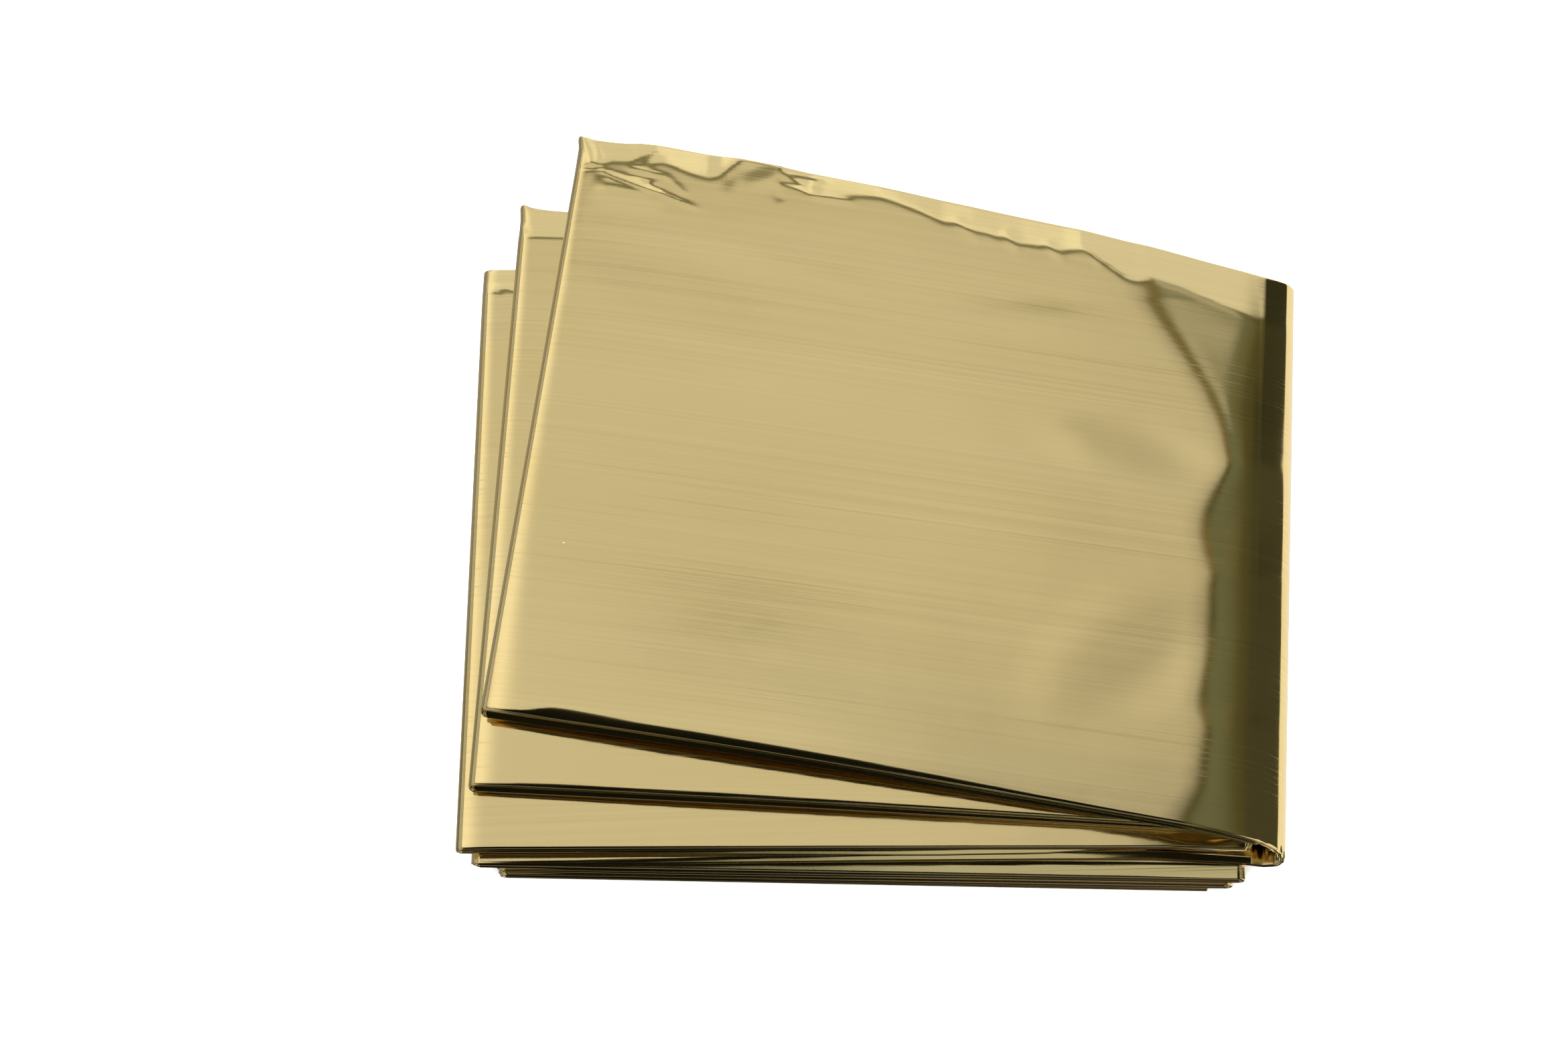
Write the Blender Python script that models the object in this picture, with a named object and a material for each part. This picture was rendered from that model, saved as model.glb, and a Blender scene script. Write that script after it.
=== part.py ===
"""Emergency foil blanket, folded flat into its pocket-size pack.

One sheet of metallised film is folded lengthwise into a band of many plies, and the band is then
folded back and forth into panels. The panels are fanned a little: three pairs lie turned on top
of each other, and one long loop at the right wraps round their ends and runs on underneath as
a plain stack. Here the band is one solid strip, as thick as its plies together, and the finer
plies are left to the render model.

Metres, +Z up, +X to the right along the panels, +Y away from the front edge. The pack lies on
z = 0, and the origin is under the middle of its box.
"""

import math
from collections import namedtuple

import bpy
import numpy as np

MM = 0.001

# The open sheet, and how many plies make the band.
SHEET_LENGTH = 2100.0
PLIES_IN_BAND = 20
BAND_DEPTH = SHEET_LENGTH / PLIES_IN_BAND

# The band as a solid strip, and the air between one panel of it and the next.
STRIP = 1.3
AIR = 0.3
PITCH = STRIP + AIR

# Mesh steps along a panel, closer where the upper panels sink, and round a fold.
WIDE_STEPS = np.linspace(0.0, 0.8, 7)
CLOSE_STEPS = np.linspace(0.8, 1.0, 8)
TURN_STEPS = 6

# Sections across the band, from its front edge to its middle: a share of its depth, and a share
# of the strip's thickness, which rounds the two long edges.
EDGE_SECTIONS = ((0.0, 0.3), (0.003, 0.75), (0.009, 1.0))
INNER_SECTIONS = (0.1, 0.23, 0.41, 0.6, 0.78, 0.91)

# One row for each panel, in the order in which the band runs through the pack. level counts from
# the bottom, and run is +1 where the band goes from left to right. left and right say where the
# flat of the panel ends along X, left_front and right_front where its front corners are along
# Y, and lean how far that end turns from +Y towards +X, in degrees. ear is how far the far left
# corner stands out past the band's depth, and tuck how far the far right one is drawn in.
Panel = namedtuple(
    "Panel",
    "name level run fan left left_front left_lean ear right right_front right_lean tuck",
)
PANELS = (
    Panel("fan_3_lower", 7, -1, 3, -52.4, -58.5, 0.6, 0.3, 60.0, -58.3, 1.5, 0.0),
    Panel("fan_3_upper", 8, +1, 3, -52.4, -58.3, 0.6, 0.3, 76.0, -58.0, 1.5, 0.5),
    Panel("fan_2_lower", 9, -1, 2, -50.6, -48.5, 3.0, 0.8, 76.0, -56.0, 1.5, 2.5),
    Panel("fan_2_upper", 10, +1, 2, -50.6, -48.2, 3.0, 0.8, 77.0, -55.7, 4.1, 4.3),
    Panel("fan_1_lower", 11, -1, 1, -48.7, -37.0, 7.6, 1.3, 77.0, -58.2, 4.1, 3.1),
    Panel("fan_1_upper", 12, +1, 1, -48.7, -36.4, 7.6, 1.3, 77.0, -57.8, 4.1, 2.9),
    Panel("wrap_under", 6, -1, 0, -50.3, -60.0, 0.8, 0.0, 77.0, -60.1, 4.1, 0.5),
    Panel("base_1", 5, +1, 0, -50.3, -59.9, 0.8, 0.0, 75.0, -61.3, 1.1, 0.0),
    Panel("base_2", 4, -1, 0, -46.3, -60.1, 1.1, 0.0, 75.0, -61.6, 1.1, 0.0),
    Panel("base_3", 3, +1, 0, -46.3, -60.0, 1.1, 0.0, 73.4, -61.9, 1.1, 0.0),
    Panel("base_4", 2, -1, 0, -46.3, -60.2, 1.1, 0.0, 73.4, -62.1, 1.1, 0.0),
    Panel("base_5", 1, +1, 0, -46.3, -60.1, 1.1, 0.0, 70.8, -62.4, 1.1, 0.0),
)

# How far each fan's front edge stands off what it lies on: the height in the middle of the arch,
# the middle and half width along X, and how far back from the edge it reaches.
Arch = namedtuple("Arch", "fan height middle half_width reach")
ARCHES = (
    Arch(3, 0.3, 10.0, 60.0, 26.0),
    Arch(2, 0.4, -8.0, 50.0, 26.0),
    Arch(1, 2.2, -10.0, 42.0, 32.0),
)

# How far a fan's far edge sinks where it reaches past the fan below.
Droop = namedtuple("Droop", "fan depth length")
DROOPS = (
    Droop(1, 0.9, 11.0),
    Droop(2, 0.6, 9.0),
)
DROOP_CLEARANCE = 1.0

# The long loop at the right, from the top panel down to the one that runs under the fans. out is
# in millimetres past the end of the panels, up is a share of half the loop's height.
LoopPoint = namedtuple("LoopPoint", "out up")
LONG_LOOP_START = "fan_1_upper"
LONG_LOOP = (
    LoopPoint(1.6, 0.93),
    LoopPoint(2.9, 0.52),
    LoopPoint(3.6, 0.08),
    LoopPoint(4.9, -0.5),
    LoopPoint(4.2, -0.9),
    LoopPoint(2.2, -1.04),
)

# How far the far edge of the top pair bows out.
FAR_BOW = 2.0

# Past the free end inside the pack, the panels above it sink by one pitch.
FREE_END_PANEL = "fan_3_lower"
SINK_CLEARANCE = 2.0
SINK_LENGTH = 11.0

# The middle of the pack's box, in the plan coordinates of the table of panels.
PLAN_CENTRE = (18.05, 3.30)

FILM_COLOUR = (0.80, 0.62, 0.28, 1.0)
FILM_ROUGHNESS = 0.22


def smooth_step(amount):
    """0 below 0, 1 above 1, and a smooth S between the two."""
    amount = np.clip(amount, 0.0, 1.0)
    return amount * amount * (3.0 - 2.0 * amount)


def band_sections():
    """Shares of the band's depth that have a section, and the strip's thickness at each."""
    near, thin = zip(*EDGE_SECTIONS)
    shares = near + INNER_SECTIONS + tuple(1.0 - share for share in reversed(near))
    thickness = thin + (1.0,) * len(INNER_SECTIONS) + tuple(reversed(thin))
    return np.array(shares), STRIP * np.array(thickness)


def panel_named(name):
    return next(panel for panel in PANELS if panel.name == name)


def panel_ends(panel, shares):
    """X and Y of a panel's left end, then of its right end, at these shares of its depth."""
    left_depth = shares * (BAND_DEPTH + panel.ear)
    right_depth = shares * (BAND_DEPTH - panel.tuck)
    left_lean = math.radians(panel.left_lean)
    right_lean = math.radians(panel.right_lean)
    return (
        (panel.left + left_depth * math.sin(left_lean)),
        (panel.left_front + left_depth * math.cos(left_lean)),
        (panel.right + right_depth * math.sin(right_lean)),
        (panel.right_front + right_depth * math.cos(right_lean)),
    )


def edge_line(panel, share, across):
    """Y of a panel's front edge (share 0) or far edge (share 1) at these X."""
    left_x, left_y, right_x, right_y = panel_ends(panel, share)
    return left_y + (right_y - left_y) * (across - left_x) / (right_x - left_x)


def arch_height(panel, across, along):
    """How far the arches of this fan and of those under it raise these places."""
    height = np.zeros_like(across)
    for arch in ARCHES:
        if panel.fan and panel.fan <= arch.fan:
            front = edge_line(panel_named(f"fan_{arch.fan}_upper"), 0.0, across)
            back = np.maximum(along - front, 0.0) / arch.reach
            side = (across - arch.middle) / arch.half_width
            height += arch.height * np.exp(-(side**2) - back**2)
    return height


def droop_depth(panel, across, along):
    """How far the far edge sinks past the far edge of the fan below."""
    for droop in DROOPS:
        if panel.fan == droop.fan:
            support = edge_line(panel_named(f"fan_{droop.fan + 1}_upper"), 1.0, across)
            return droop.depth * smooth_step(
                (along - support - DROOP_CLEARANCE) / droop.length
            )
    return np.zeros_like(across)


def sink_depth(panel, across, along):
    """How far the panels above the free end sink past that end."""
    inner = panel_named(FREE_END_PANEL)
    if panel.level <= inner.level:
        return np.zeros_like(across)
    end = inner.right + (along - inner.right_front) * math.tan(math.radians(inner.right_lean))
    return PITCH * smooth_step((across - end - SINK_CLEARANCE) / SINK_LENGTH)


def panel_points(panel, shares):
    """Mid-surface points of a panel, a row for each section, from left to right."""
    left_x, left_y, right_x, right_y = panel_ends(panel, shares)
    step = np.concatenate([WIDE_STEPS, CLOSE_STEPS[1:]])
    across = np.outer(left_x, 1.0 - step) + np.outer(right_x, step)
    along = np.outer(left_y, 1.0 - step) + np.outer(right_y, step)
    if panel.fan == 1:
        along += FAR_BOW * np.outer(shares**3, np.sin(math.pi * np.sqrt(step)))
    height = np.full_like(across, (panel.level - 1) * PITCH + STRIP / 2)
    height += arch_height(panel, across, along)
    height -= droop_depth(panel, across, along) + sink_depth(panel, across, along)
    return np.stack([across, along, height], axis=-1)


def fold_shape(start):
    """(out, up) of the points between two panels' ends, as shares of half their distance."""
    if start.name == LONG_LOOP_START:
        return [(point.out, point.up, False) for point in LONG_LOOP]
    angles = np.linspace(0.0, math.pi, TURN_STEPS + 1)[1:-1]
    return [(math.sin(angle), math.cos(angle), True) for angle in angles]


def fold_points(start, start_end, finish_end):
    """Mid-surface points of the fold from the end of one panel to the start of the next."""
    middle = (start_end + finish_end) / 2
    half = (start_end - finish_end) / 2
    lean = math.radians(start.right_lean if start.run > 0 else start.left_lean)
    outward = start.run * np.array([math.cos(lean), -math.sin(lean), 0.0])
    radius = np.abs(half[:, 2:])
    columns = []
    for out, up, scaled in fold_shape(start):
        reach = out * radius if scaled else np.full_like(radius, out)
        columns.append(middle + up * half + reach * outward)
    return np.stack(columns, axis=1)


def band_surface(shares):
    """The whole band's mid-surface: a row for each section, a column for each step along it."""
    flats = []
    for panel in PANELS:
        points = panel_points(panel, shares)
        flats.append(points if panel.run > 0 else points[:, ::-1])
    pieces = [flats[0]]
    for start, before, after in zip(PANELS, flats, flats[1:]):
        pieces.append(fold_points(start, before[:, -1], after[:, 0]))
        pieces.append(after)
    return np.concatenate(pieces, axis=1)


def unit(vectors):
    return vectors / np.linalg.norm(vectors, axis=-1, keepdims=True)


def offsets(surface):
    """For each point, the step to the strip's skin where the strip is 2 thick, mitred at bends."""
    segments = unit(np.diff(surface, axis=1))
    before = np.concatenate([segments[:, :1], segments], axis=1)
    after = np.concatenate([segments, segments[:, -1:]], axis=1)
    along_band = unit(before + after)
    across_band = unit(np.gradient(surface, axis=0))
    mitre = np.sum(along_band * after, axis=-1, keepdims=True)
    return unit(np.cross(along_band, across_band)) / mitre


def strip_faces(rows, columns):
    """Quads of a closed strip whose points are numbered by row, column and side."""
    index = np.arange(rows * columns * 2).reshape(rows, columns, 2)
    outer, inner = index[..., 0], index[..., 1]

    def quads(a, b, c, d):
        return np.stack([a, b, c, d], axis=-1).reshape(-1, 4)

    return np.concatenate(
        [
            quads(outer[:-1, :-1], outer[:-1, 1:], outer[1:, 1:], outer[1:, :-1]),
            quads(inner[:-1, :-1], inner[1:, :-1], inner[1:, 1:], inner[:-1, 1:]),
            quads(outer[0, :-1], inner[0, :-1], inner[0, 1:], outer[0, 1:]),
            quads(outer[-1, :-1], outer[-1, 1:], inner[-1, 1:], inner[-1, :-1]),
            quads(outer[:-1, 0], outer[1:, 0], inner[1:, 0], inner[:-1, 0]),
            quads(outer[:-1, -1], inner[:-1, -1], inner[1:, -1], outer[1:, -1]),
        ]
    )


def film_material():
    material = bpy.data.materials.new("gold_film")
    material.use_nodes = True
    shader = material.node_tree.nodes["Principled BSDF"]
    shader.inputs["Base Color"].default_value = FILM_COLOUR
    shader.inputs["Metallic"].default_value = 1.0
    shader.inputs["Roughness"].default_value = FILM_ROUGHNESS
    return material


def make_blanket():
    shares, thickness = band_sections()
    surface = band_surface(shares)
    skin = offsets(surface) * thickness[:, None, None] / 2
    points = np.stack([surface + skin, surface - skin], axis=2)
    points[..., :2] -= PLAN_CENTRE
    faces = strip_faces(*surface.shape[:2])
    mesh = bpy.data.meshes.new("foil_blanket")
    mesh.from_pydata((points.reshape(-1, 3) * MM).tolist(), [], faces.tolist())
    mesh.update()
    mesh.shade_smooth()
    mesh.set_sharp_from_angle(angle=math.radians(40.0))
    blanket = bpy.data.objects.new("foil_blanket", mesh)
    blanket.data.materials.append(film_material())
    bpy.context.scene.collection.objects.link(blanket)


def main():
    for obj in list(bpy.data.objects):
        bpy.data.objects.remove(obj)
    make_blanket()


main()
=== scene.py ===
"""Looks of an emergency foil blanket, folded flat into its pocket-size pack.

One sheet of gold metallised film is halved twice, pleated into five sections to make a band of
twenty plies, and the band is folded back and forth into twelve panels. This script works out
every ply of that sheet as a surface of two parameters, one along the band and one across it,
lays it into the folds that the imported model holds, and dresses it as metallised film.

Lengths in the tables are millimetres in the pack's plan, and PLAN_CENTRE brings them to the
frame. Only the finished mesh is in metres.
"""

import logging
import math
from dataclasses import dataclass
from enum import Enum
from functools import reduce
from typing import Sequence

import bpy
import numpy as np
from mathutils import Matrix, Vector


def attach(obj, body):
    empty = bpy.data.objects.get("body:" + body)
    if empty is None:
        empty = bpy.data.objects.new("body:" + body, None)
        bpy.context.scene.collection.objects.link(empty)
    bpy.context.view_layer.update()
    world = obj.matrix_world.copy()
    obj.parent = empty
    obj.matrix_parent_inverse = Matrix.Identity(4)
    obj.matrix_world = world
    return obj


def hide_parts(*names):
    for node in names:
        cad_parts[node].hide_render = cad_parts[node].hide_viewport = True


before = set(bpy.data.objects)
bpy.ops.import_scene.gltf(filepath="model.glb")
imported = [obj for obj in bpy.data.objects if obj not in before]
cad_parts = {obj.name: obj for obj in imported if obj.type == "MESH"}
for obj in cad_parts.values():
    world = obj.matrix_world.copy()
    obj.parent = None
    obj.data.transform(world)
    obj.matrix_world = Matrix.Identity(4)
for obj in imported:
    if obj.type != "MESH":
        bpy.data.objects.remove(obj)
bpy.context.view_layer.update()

LOG = logging.getLogger("foil_blanket")

MM = 0.001
Array = np.ndarray
Socket = bpy.types.NodeSocket
Triple = tuple[float, float, float]
Colour = tuple[float, float, float, float]

# Points of a line, each a place with the line's value there.
Line = tuple[tuple[float, float], ...]

# Parts of a row of points, each a start, a finish and a number of points.
Parts = tuple[tuple[float, float, int], ...]

# The middle of the pack's box, in the plan coordinates of the tables below.
PLAN_CENTRE = (18.05, 3.30)

# Corners of the mesh that are nearer than about this, in metres, are one.
JOIN_GRID = 1e-7


def line_at(line: Line, places: Array) -> Array:
    """The line's value at these places: straight between its points and level past its ends."""
    spots, values = zip(*line)
    return np.interp(places, spots, values)


def smooth_step(amount: Array) -> Array:
    """0 for an amount below 0, 1 above 1, and 3a^2 - 2a^3 between the two."""
    amount = np.clip(amount, 0.0, 1.0)
    return amount * amount * (3.0 - 2.0 * amount)


def ramp_length(distance: Array, width: float) -> Array:
    """The area under a smooth step: width (t^3 - t^4 / 2), then one for one with the distance."""
    share = np.clip(distance / width, 0.0, 1.0)
    return width * (share**3 - share**4 / 2) + np.maximum(distance - width, 0.0)


class Run(Enum):
    """The way the band goes through a panel."""

    RIGHTWARDS = 1
    LEFTWARDS = -1


@dataclass(frozen=True)
class SheetCut:
    """The open sheet and how it is folded into the band.

    outer_gap is the room between the outer ply and the one next to it, ply_gap between others.
    """

    length: float = 2100.0
    width: float = 1600.0
    sections: int = 5
    layers: int = 4
    panels: int = 12
    outer_gap: float = 0.24
    ply_gap: float = 0.066
    nose_softness: float = 1.15

    @property
    def plies(self) -> int:
        """Plies in the band."""
        return self.sections * self.layers

    @property
    def depth(self) -> float:
        """Depth of the band, from its front edge to its far edge."""
        return self.length / self.plies

    @property
    def half_stack(self) -> float:
        """Distance from the band's middle surface to its outer ply."""
        return (self.outer_gap + (self.plies - 2) * self.ply_gap) / 2

    @property
    def nose_reach(self) -> float:
        """How far the outermost ply of a pleat reaches past the plies' flat ends."""
        return self.nose_softness * (self.outer_gap + (2 * self.layers - 2) * self.ply_gap) / 2


CUT = SheetCut()


@dataclass(frozen=True)
class Ply:
    """One ply of the band, in the order in which the sheet runs through it."""

    section: int
    rung: int
    to_far: bool

    @property
    def offset(self) -> float:
        """Distance from the band's middle surface: the outer ply lies loosely on the others."""
        if not self.rung:
            return CUT.half_stack
        return CUT.half_stack - CUT.outer_gap - (self.rung - 1) * CUT.ply_gap

    @property
    def front_bundle(self) -> int:
        """Which of the front edge's bundles this ply ends in, counted from the outer face."""
        return (self.section - 1) // 2

    @property
    def far_bundle(self) -> int:
        """Which of the far edge's bundles this ply ends in, counted from the outer face."""
        return self.section // 2


def fold_plies() -> tuple[Ply, ...]:
    """Follows the sheet from one cut end to the other through the halved and pleated band.

    The twice halved sheet is four legs. They run back and forth through the five sections, and
    each pleat turns their order over, so a ply's rung is 4 (section - 1) plus its place in the
    section, counted from the other side in every second one.

    Returns:
        The twenty plies in the order of the sheet.
    """
    places_of_legs = (3, 0, 1, 2)
    plies = []
    for leg, place in enumerate(places_of_legs):
        outward = leg % 2 == 1
        order = range(1, CUT.sections + 1)
        for section in order if outward else reversed(order):
            odd = section % 2 == 1
            rung = CUT.layers * (section - 1) + (place if odd else CUT.layers - 1 - place)
            plies.append(Ply(section, rung, to_far=odd != outward))
    return tuple(plies)


PLIES = fold_plies()


@dataclass(frozen=True)
class Panel:
    """One panel of the band, as it lies in the pack.

    left and right say where its flat ends along X, left_front and right_front where its front
    corners are along Y, and lean how far that end turns from +Y towards +X, in degrees. ear is
    how far the far left corner stands out, and tuck how far the far right one is drawn in.
    """

    name: str
    level: int
    run: Run
    fan: int
    left: float
    left_front: float
    left_lean: float
    ear: float
    right: float
    right_front: float
    right_lean: float
    tuck: float

    def ends(self, shares: Array) -> tuple[Array, Array, Array, Array]:
        """X and Y of the left end, then of the right end.

        Args:
            shares: Shares of the band's depth, from the front edge.

        Returns:
            Left X, left Y, right X and right Y.
        """
        left_depth = shares * (CUT.depth + self.ear)
        right_depth = shares * (CUT.depth - self.tuck)
        left_lean = math.radians(self.left_lean)
        right_lean = math.radians(self.right_lean)
        return (
            self.left + left_depth * math.sin(left_lean),
            self.left_front + left_depth * math.cos(left_lean),
            self.right + right_depth * math.sin(right_lean),
            self.right_front + right_depth * math.cos(right_lean),
        )

    def edge_line(self, share: float, across: Array) -> Array:
        """Y of the straight line between the two ends, at this share of the depth and these X."""
        left_x, left_y, right_x, right_y = self.ends(np.array(share))
        return left_y + (right_y - left_y) * (across - left_x) / (right_x - left_x)


R, L = Run.RIGHTWARDS, Run.LEFTWARDS
PANELS = (
    Panel("fan_3_lower", 7, L, 3, -52.95, -58.5, 0.6, 0.3, 60.0, -59.1, 1.5, 0.0),
    Panel("fan_3_upper", 8, R, 3, -52.95, -58.3, 0.6, 0.3, 76.0, -58.0, 1.5, 0.5),
    Panel("fan_2_lower", 9, L, 2, -50.85, -49.0, 3.0, 0.8, 76.0, -56.0, 1.5, 2.5),
    Panel("fan_2_upper", 10, R, 2, -50.85, -48.2, 3.0, 0.8, 77.0, -55.7, 4.1, 4.3),
    Panel("fan_1_lower", 11, L, 1, -49.0, -37.6, 7.6, 1.3, 77.0, -58.2, 4.1, 3.1),
    Panel("fan_1_upper", 12, R, 1, -49.0, -36.4, 7.6, 1.3, 77.0, -57.8, 4.1, 2.9),
    Panel("wrap_under", 6, L, 0, -50.3, -60.0, 0.8, 0.0, 77.0, -60.1, 4.1, 0.5),
    Panel("base_1", 5, R, 0, -50.3, -59.9, 0.8, 0.0, 75.0, -62.0, 1.1, 0.0),
    Panel("base_2", 4, L, 0, -46.3, -60.1, 1.1, 0.0, 75.0, -62.1, 1.1, 0.0),
    Panel("base_3", 3, R, 0, -46.3, -60.0, 1.1, 0.0, 73.4, -62.2, 1.1, 0.0),
    Panel("base_4", 2, L, 0, -46.3, -60.2, 1.1, 0.0, 73.4, -62.3, 1.1, 0.0),
    Panel("base_5", 1, R, 0, -46.3, -60.1, 1.1, 0.0, 70.8, -62.4, 1.1, 0.0),
)
BY_NAME = {panel.name: panel for panel in PANELS}
TOP = BY_NAME["fan_1_upper"]

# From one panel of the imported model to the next.
PITCH = 1.6

# Past the free end inside the pack, the panels above it sink by one pitch.
FREE_END = BY_NAME["fan_3_lower"]
SINK_CLEARANCE = 2.0
SINK_LENGTH = 11.0

# How far the far edge of the top pair bows out.
FAR_BOW = 2.0

# How far a panel's front edge is drawn back, over X, and how far back that is felt.
RETREATS = {
    "wrap_under": (
        (-50.0, 0.0), (-22.0, 0.2), (5.0, 0.55), (32.0, 0.9), (60.0, 1.1), (67.0, 0.9), (76.0, 0.0),
    ),
    "fan_3_lower": ((-50.0, 0.0), (24.0, 0.0), (44.0, 0.5), (58.0, 1.6)),
}
RETREAT_REACH = 14.0


@dataclass(frozen=True)
class Arch:
    """How far a fan's front edge stands off what it lies on."""

    fan: int
    height: float
    middle: float
    half_width: float
    reach: float


ARCHES = (
    Arch(3, 0.3, 10.0, 60.0, 26.0),
    Arch(2, 0.9, -2.0, 48.0, 24.0),
    Arch(1, 1.9, -10.0, 42.0, 32.0),
)


@dataclass(frozen=True)
class Droop:
    """The strip along a fan's far edge that tilts back, past a line given by its points."""

    fan: int
    slope: float
    softness: float
    line: Line


DROOPS = (
    Droop(
        1, 0.165, 3.0,
        (
            (-40, 62.6), (-36.7, 62.7), (-32.8, 62.5), (-30.2, 63.2), (-27.4, 63.0), (-25.2, 63.6),
            (-22.1, 63.2), (-19.8, 62.3), (-17.5, 61.2), (-15.2, 60.3), (-13, 59.7), (-10.8, 60.3),
            (-9.2, 61.6), (-7.4, 63.6), (-5.6, 65.2), (-3.2, 66.2), (-1.8, 66.4), (-0.8, 63.6),
            (0.2, 60.2), (4.5, 56.9), (9, 56.6), (12.8, 56.4), (16.7, 56.1), (19.9, 55),
            (23.7, 53.3), (27.5, 51.3),
            (33.3, 49.8), (37.7, 48.1), (41.6, 47), (46, 46.2), (49.2, 45.7), (52.1, 45.8),
            (54.5, 44.1), (56.7, 42.3), (59.2, 40.4), (61, 39.9), (64, 40.5), (69.3, 38.7),
            (82.3, 33.4),
        ),
    ),
    Droop(2, 0.16, 1.2, ((-50, 50.6), (-46, 50.7), (-39, 50.5), (80, 42))),
    Droop(3, 0.16, 1.0, ((-55, 41.4), (-47, 41.6), (80, 41))),
)


@dataclass(frozen=True)
class RightFall:
    """How the top film falls towards the long loop, as two ramps one after the other.

    start is a straight line, given by its X at the pack's front edge and its slope, and steep
    lists places along Y with the X where the second ramp starts. The first ramp's line also has
    bays and tips: bays lists places along Y with how far the line stands off to the right there,
    and they are gone bay_reach to the right of it. What lies under floor_height doesn't fall.
    """

    first_slope: float = 0.155
    first_width: float = 8.5
    second_slope: float = 0.30
    second_width: float = 12.0
    floor_height: float = 9.4
    start: tuple[float, float] = (63.2, 0.025)
    steep: Line = (
        (-62.0, 67.8), (20.0, 74.2), (33.0, 76.4), (45.0, 78.6),
    )
    bay_reach: float = 40.0
    bays: Line = (
        (-62.0, -4.6), (-54.3, -2.6), (-49.3, 0.4), (-44.0, 1.2), (-39.0, 2.0), (-35.6, 0.7),
        (-29.8, 0.9), (-22.0, 1.7), (-18.7, 2.4), (-14.0, 2.9), (-12.2, 3.5), (-10.5, 2.7),
        (-5.0, 1.6), (-1.4, 2.0), (2.9, 4.2), (6.4, 6.9), (7.6, 7.6), (9.5, 6.9), (12.8, 6.2),
        (17.6, 4.5), (22.3, 2.4), (27.8, -0.6), (33.3, -4.2), (38.1, -7.2), (45.0, -9.5),
    )

    def depth(self, across: Array, along: Array) -> Array:
        """How far the top film has fallen: the sum of the two ramps' lengths times their slopes.

        Args:
            across: X of the places.
            along: Y of the places.

        Returns:
            The fall in millimetres.
        """
        back = along - TOP.right_front
        start = self.start[0] + self.start[1] * back
        bay = line_at(self.bays, along)
        fading = 1.0 - smooth_step((across - start - bay) / self.bay_reach)
        first = ramp_length(across - start - bay * fading, self.first_width)
        second = ramp_length(across - line_at(self.steep, along), self.second_width)
        return self.first_slope * first + self.second_slope * second


FALL = RightFall()


@dataclass(frozen=True)
class Crease:
    """A soft ridge, or a trough if its height is negative, along a straight line.

    near and far are its half widths on the right and on the left of the line, seen from its
    start, and fan names the fan whose top film it lies in.
    """

    fan: int
    start: tuple[float, float]
    finish: tuple[float, float]
    height: float
    near: float
    far: float
    taper: float = 0.2

    def relief(self, across: Array, along: Array) -> Array:
        """height exp(-(d / w)^2), faded out at both ends of the line.

        Args:
            across: X of the places.
            along: Y of the places.

        Returns:
            The height that the crease adds there.
        """
        run_x = self.finish[0] - self.start[0]
        run_y = self.finish[1] - self.start[1]
        length = math.hypot(run_x, run_y)
        from_x = across - self.start[0]
        from_y = along - self.start[1]
        share = (from_x * run_x + from_y * run_y) / length**2
        side = (from_y * run_x - from_x * run_y) / length
        width = np.where(side < 0, self.near, self.far)
        ends = smooth_step(share / self.taper) * smooth_step((1 - share) / self.taper)
        return self.height * np.exp(-((side / width) ** 2)) * ends


@dataclass(frozen=True)
class Facet:
    """A patch of the top film that tilts: tilt_right and tilt_back are its slopes down that way."""

    fan: int
    middle: tuple[float, float]
    half_x: float
    half_y: float
    turn: float
    tilt_right: float
    tilt_back: float
    crispness: float = 2.0

    def relief(self, across: Array, along: Array) -> Array:
        """A tilted plane times exp(-r^(2 crispness)), where r is 1 on the patch's ellipse.

        Args:
            across: X of the places.
            along: Y of the places.

        Returns:
            The height that the patch adds there.
        """
        from_x = across - self.middle[0]
        from_y = along - self.middle[1]
        cosine = math.cos(math.radians(self.turn))
        sine = math.sin(math.radians(self.turn))
        share_x = (from_x * cosine + from_y * sine) / self.half_x
        share_y = (from_y * cosine - from_x * sine) / self.half_y
        mask = np.exp(-((share_x**2 + share_y**2) ** self.crispness))
        return -(self.tilt_right * from_x + self.tilt_back * from_y) * mask


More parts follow.
